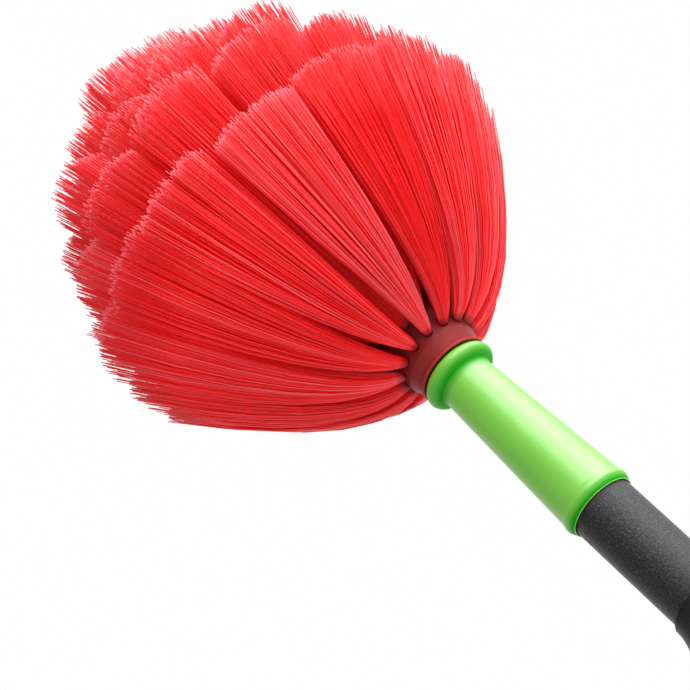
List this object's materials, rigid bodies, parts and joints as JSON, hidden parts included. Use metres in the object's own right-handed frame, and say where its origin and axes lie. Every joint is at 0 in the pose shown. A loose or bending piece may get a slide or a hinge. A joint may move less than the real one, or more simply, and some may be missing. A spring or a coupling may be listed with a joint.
{
  "type": "cobweb brush",
  "caption": "Telescopic cobweb brush: a dome of curved red filament tufts on a drilled block, a tapered green socket, and a dark tube pole with a twist lock, a ribbed grip and a hanging eye.",
  "frame": {"origin": "lowest point of the hanging eye, on the pole's axis", "axes": "+Z along the pole's axis towards the head, +Y along the hole in the hanging eye"},
  "size_m": [0.1566, 0.158, 0.8033],
  "materials": {
    "block_red": "satin",
    "filament_red": "satin",
    "bright_steel": "satin",
    "socket_green": "satin",
    "tube_coating": "matte",
    "bush_white": "satin",
    "lock_black": "satin",
    "grip_rubber": "matte"
  },
  "bodies": {
    "outer_pole": {"outer_tube": "tube_coating", "lock_collet": "lock_black", "hand_grip": "grip_rubber", "end_cap": "lock_black"},
    "lock_nut": {"lock_nut": "lock_black"},
    "inner_pole": {"inner_tube": "tube_coating", "tip_plug": "lock_black", "guide_bush": "bush_white"},
    "head": {"brush_block": "block_red", "tuft_ring_1": "filament_red", "tuft_ring_2": "filament_red", "tuft_ring_3": "filament_red", "tuft_ring_4": "filament_red", "tuft_ring_5": "filament_red", "tuft_ring_6": "filament_red", "crown_tufts": "filament_red", "tuft_anchors": "bright_steel", "head_socket": "socket_green", "block_screw": "bright_steel", "screw_washer": "bright_steel"}
  },
  "joints": [
    {"name": "telescope_slide", "type": "slide", "parent": "outer_pole", "child": "inner_pole", "axis": [0, 0, 1], "range_m": [-0.04, 0.33]},
    {"name": "lock_twist", "type": "hinge", "parent": "outer_pole", "child": "lock_nut", "pos_m": [0, 0, 0.5], "axis": [0, 0, 1], "range_deg": [0, 120]},
    {"name": "head_screw", "type": "hinge", "parent": "inner_pole", "child": "head", "pos_m": [0, 0, 0.6], "axis": [0, 0, 1], "range_deg": [0, 720]}
  ]
}
